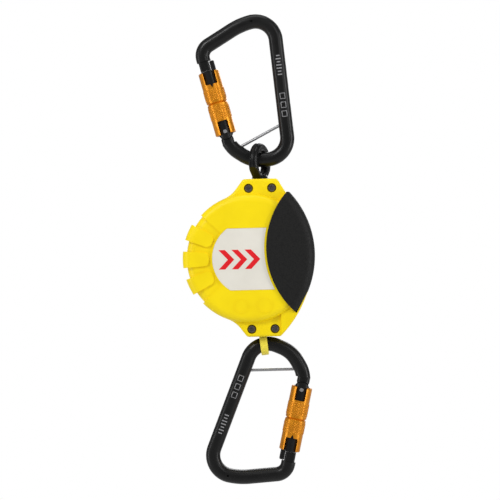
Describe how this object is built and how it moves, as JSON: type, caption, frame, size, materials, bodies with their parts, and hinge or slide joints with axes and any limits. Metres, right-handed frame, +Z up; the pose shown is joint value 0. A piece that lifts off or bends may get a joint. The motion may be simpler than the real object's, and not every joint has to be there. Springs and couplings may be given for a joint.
{
  "type": "self retracting lifeline",
  "caption": "Compact self retracting lifeline: a spring-wound webbing drum in a ribbed casing, hung from a swivel eye between two twist-lock carabiners.",
  "frame": {"origin": "seat at the inside top of the anchor carabiner, on the load line", "axes": "+Z up along the load line, -Y is the labelled front, +X to the right seen from the front"},
  "size_m": [0.0957, 0.0416, 0.3426],
  "materials": {
    "black_anodised": "gloss black anodised",
    "forged_black": "gloss black forged steel",
    "gold_anodised": "orange gold anodised, knurled",
    "stainless": "polished stainless",
    "spring_steel": "spring steel",
    "dark_screw": "dark plated steel",
    "yellow_casing": "satin moulded nylon",
    "black_grip": "fine grained soft rubber",
    "cream_label": "printed film",
    "steel_plate": "plain steel plate",
    "bronze": "sintered bronze",
    "drum_alloy": "cast aluminium",
    "nozzle_plastic": "hard black plastic",
    "webbing": "woven yellow webbing"
  },
  "bodies": {
    "anchor_carabiner": {"anchor_body": "black_anodised", "anchor_captive_bar": "stainless", "anchor_gate_rivet": "stainless"},
    "anchor_gate": {"anchor_gate_arm": "black_anodised", "anchor_gate_plunger": "stainless", "anchor_gate_spring": "spring_steel", "anchor_sleeve_spring": "spring_steel"},
    "anchor_sleeve": {"anchor_sleeve": "gold_anodised"},
    "hook_carabiner": {"hook_body": "black_anodised", "hook_captive_bar": "stainless", "hook_gate_rivet": "stainless"},
    "hook_gate": {"hook_gate_arm": "black_anodised", "hook_gate_plunger": "stainless", "hook_gate_spring": "spring_steel", "hook_sleeve_spring": "spring_steel"},
    "hook_sleeve": {"hook_sleeve": "gold_anodised"},
    "eye": {"swivel_eye": "forged_black", "swivel_nut": "dark_screw"},
    "housing": {"front_casing": "yellow_casing", "rear_casing": "yellow_casing", "front_grip": "black_grip", "rear_grip": "black_grip", "front_label": "cream_label", "rear_label": "cream_label", "casing_screws": "dark_screw", "casing_nuts": "dark_screw", "load_frame": "steel_plate", "swivel_washer": "dark_screw", "frame_bushes": "bronze", "ratchet_ring": "steel_plate", "brake_lining": "bronze", "spring_cup": "steel_plate", "spring_cover": "steel_plate", "power_spring": "spring_steel", "line_nozzle": "nozzle_plastic", "guide_bar": "stainless", "guided_line": "webbing"},
    "drum": {"drum_shaft": "stainless", "shaft_clips": "stainless", "drum_hub": "drum_alloy", "line_pin": "stainless", "front_flange": "drum_alloy", "rear_flange": "drum_alloy", "flange_rivets": "stainless", "wound_lifeline": "webbing", "pawl_plate": "steel_plate", "pawl_pins": "stainless", "pawl_springs": "spring_steel", "spring_arbor": "drum_alloy"},
    "pawl_1": {"pawl_1": "steel_plate"},
    "pawl_2": {"pawl_2": "steel_plate"},
    "lifeline": {"lifeline_loop": "webbing"}
  },
  "joints": [
    {"name": "anchor_gate_hinge", "type": "hinge", "parent": "anchor_carabiner", "child": "anchor_gate", "pos_m": [-0.02447, 0, -0.07464], "axis": [0, 1, 0], "range_deg": [0, 22], "stiffness_Nm_per_rad": 0.06, "springref_deg": -28.65},
    {"name": "anchor_sleeve_turn", "type": "hinge", "parent": "anchor_gate", "child": "anchor_sleeve", "pos_m": [-0.02949, 0, -0.05528], "axis": [-0.2512, 0, 0.9679], "range_deg": [0, 90], "stiffness_Nm_per_rad": 0.01, "springref_deg": -28.65},
    {"name": "hook_gate_hinge", "type": "hinge", "parent": "hook_carabiner", "child": "hook_gate", "pos_m": [0.02653, 0, -0.26404], "axis": [0, 1, 0], "range_deg": [0, 22], "stiffness_Nm_per_rad": 0.06, "springref_deg": -28.65},
    {"name": "hook_sleeve_turn", "type": "hinge", "parent": "hook_gate", "child": "hook_sleeve", "pos_m": [0.02212, 0, -0.28354], "axis": [-0.2207, 0, -0.9753], "range_deg": [0, 90], "stiffness_Nm_per_rad": 0.01, "springref_deg": -28.65},
    {"name": "eye_swing", "type": "hinge", "parent": "anchor_carabiner", "child": "eye", "pos_m": [0, 0, -0.0959], "axis": [1, 0, 0], "range_deg": [-70, 70]},
    {"name": "housing_swivel", "type": "hinge", "parent": "eye", "child": "housing", "pos_m": [0, 0, -0.1174], "axis": [0, 0, 1], "continuous": true},
    {"name": "drum_spin", "type": "hinge", "parent": "housing", "child": "drum", "pos_m": [-0.009, 0, -0.1674], "axis": [0, 1, 0], "range_deg": [0, 4200], "stiffness_Nm_per_rad": 0.0015, "springref_deg": -5156.62},
    {"name": "pawl_1_swing", "type": "hinge", "parent": "drum", "child": "pawl_1", "pos_m": [0.006, -0.0135, -0.1674], "axis": [0, 1, 0], "range_deg": [0, 22], "stiffness_Nm_per_rad": 0.001, "springref_deg": -17.19},
    {"name": "pawl_2_swing", "type": "hinge", "parent": "drum", "child": "pawl_2", "pos_m": [-0.024, -0.0135, -0.1674], "axis": [0, 1, 0], "range_deg": [0, 22], "stiffness_Nm_per_rad": 0.001, "springref_deg": -17.19},
    {"name": "line_slide", "type": "slide", "parent": "housing", "child": "lifeline", "axis": [0, 0, -1], "range_m": [0, 1.8]},
    {"name": "hook_swing", "type": "hinge", "parent": "lifeline", "child": "hook_carabiner", "pos_m": [0, 0, -0.2304], "axis": [0.9808, 0, 0.195], "range_deg": [-50, 50]}
  ],
  "couplings": [
    {"joint": "line_slide", "follows": "drum_spin", "m_per_rad": 0.02455}
  ]
}
